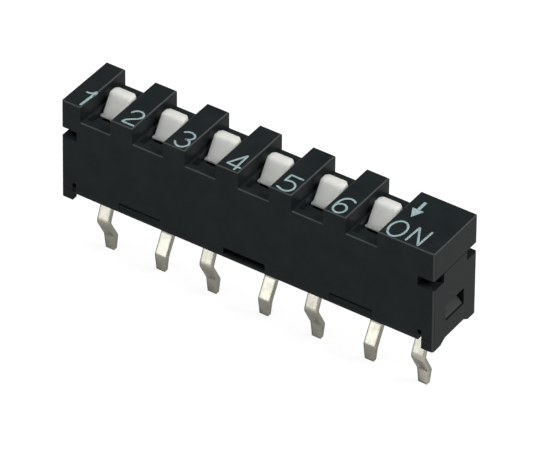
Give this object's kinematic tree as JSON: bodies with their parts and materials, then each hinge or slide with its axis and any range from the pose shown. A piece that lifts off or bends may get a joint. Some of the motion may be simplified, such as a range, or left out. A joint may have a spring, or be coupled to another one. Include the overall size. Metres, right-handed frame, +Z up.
{
  "type": "single in-line package switch",
  "caption": "Slide switches in a row in one black moulded housing, with white raised actuators in slots between ribs and kinked terminals in a single line below.",
  "frame": {"origin": "middle of the row of terminals, on the plane of the board that the feet stand on", "axes": "+X along the row from the first switch to the wide end block, -Y towards the ON side (front), +Z up from the board to the actuators"},
  "size_m": [0.0178, 0.0032, 0.008],
  "materials": {
    "housing": "black moulded thermoplastic with a fine matt texture",
    "base": "black moulded thermoplastic",
    "actuator": "white moulded nylon, satin",
    "terminal": "matt tin plate on copper alloy strip",
    "wiper": "gold-flashed spring strip"
  },
  "bodies": {
    "housing": {"cover": "housing", "base": "base", "common_terminal": "terminal", "terminal_1": "terminal", "terminal_2": "terminal", "terminal_3": "terminal", "terminal_4": "terminal", "terminal_5": "terminal", "terminal_6": "terminal"},
    "switch_1": {"actuator_1": "actuator", "wiper_1": "wiper"},
    "switch_2": {"actuator_2": "actuator", "wiper_2": "wiper"},
    "switch_3": {"actuator_3": "actuator", "wiper_3": "wiper"},
    "switch_4": {"actuator_4": "actuator", "wiper_4": "wiper"},
    "switch_5": {"actuator_5": "actuator", "wiper_5": "wiper"},
    "switch_6": {"actuator_6": "actuator", "wiper_6": "wiper"}
  },
  "joints": [
    {"name": "slide_1", "type": "slide", "parent": "housing", "child": "switch_1", "axis": [0, -1, 0], "range_m": [0, 0.0008]},
    {"name": "slide_2", "type": "slide", "parent": "housing", "child": "switch_2", "axis": [0, -1, 0], "range_m": [0, 0.0008]},
    {"name": "slide_3", "type": "slide", "parent": "housing", "child": "switch_3", "axis": [0, -1, 0], "range_m": [0, 0.0008]},
    {"name": "slide_4", "type": "slide", "parent": "housing", "child": "switch_4", "axis": [0, -1, 0], "range_m": [0, 0.0008]},
    {"name": "slide_5", "type": "slide", "parent": "housing", "child": "switch_5", "axis": [0, -1, 0], "range_m": [0, 0.0008]},
    {"name": "slide_6", "type": "slide", "parent": "housing", "child": "switch_6", "axis": [0, -1, 0], "range_m": [0, 0.0008]}
  ]
}
